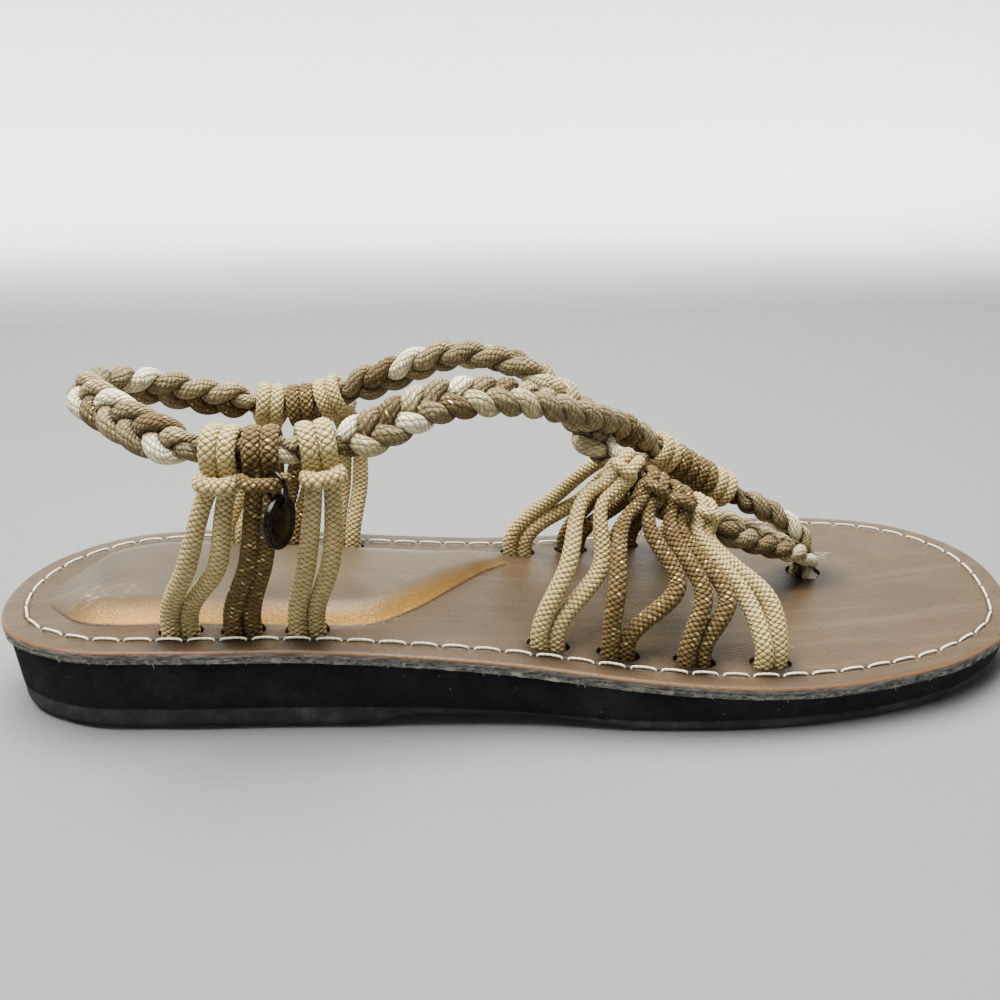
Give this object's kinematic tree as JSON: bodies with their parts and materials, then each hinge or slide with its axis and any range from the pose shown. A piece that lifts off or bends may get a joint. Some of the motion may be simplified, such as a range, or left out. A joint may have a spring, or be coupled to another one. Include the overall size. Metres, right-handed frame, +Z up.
{
  "type": "braided cord sandal",
  "caption": "Right-foot sandal with a plaited cord strap, hitched cream and brown cord loops, a moulded leather footbed, a wedge sole and a small metal charm.",
  "frame": {"origin": "middle of the sole's outline in plan, on the floor", "axes": "+X towards the toe, +Y towards the inner side of the foot, +Z up"},
  "size_m": [0.2617, 0.0958, 0.0789],
  "materials": {
    "tread": "dusty matt black rubber",
    "foam": "matt black foam",
    "board": "grey fibre board with a fuzzy cut edge",
    "leather": "satin brown footbed with an orange-tan cut edge",
    "plait": "plaited cord dyed cream, tan and brown",
    "cream_cord": "tubular braided cream cord",
    "brown_cord": "tubular braided brown cord with gold flecks",
    "gunmetal": "dark polished metal"
  },
  "bodies": {
    "sandal": {"outsole": "tread", "midsole": "foam", "insole_board": "board", "footbed": "leather", "braid_strap": "plait", "heel_loop_outer_front": "cream_cord", "heel_loop_outer_middle": "brown_cord", "heel_loop_outer_rear": "cream_cord", "heel_loop_inner_front": "cream_cord", "heel_loop_inner_middle": "brown_cord", "heel_loop_inner_rear": "cream_cord", "toe_loop_outer_1": "cream_cord", "toe_loop_outer_2": "brown_cord", "toe_loop_outer_3": "brown_cord", "toe_loop_outer_4": "cream_cord", "toe_loop_inner_1": "cream_cord", "toe_loop_inner_2": "brown_cord", "toe_loop_inner_3": "brown_cord", "toe_loop_inner_4": "cream_cord"},
    "charm_ring": {"charm_ring": "gunmetal"},
    "charm_disc": {"charm_disc": "gunmetal"}
  },
  "joints": [
    {"name": "ring_swing", "type": "hinge", "parent": "sandal", "child": "charm_ring", "pos_m": [-0.06051, -0.03227, 0.06184], "axis": [-0.9986, 0.0519, -0.0038], "range_deg": [-10, 30]},
    {"name": "disc_swing", "type": "hinge", "parent": "charm_ring", "child": "charm_disc", "pos_m": [-0.06051, -0.03227, 0.05789], "axis": [-0.9063, 0.4226, 0], "range_deg": [-15, 40]}
  ]
}
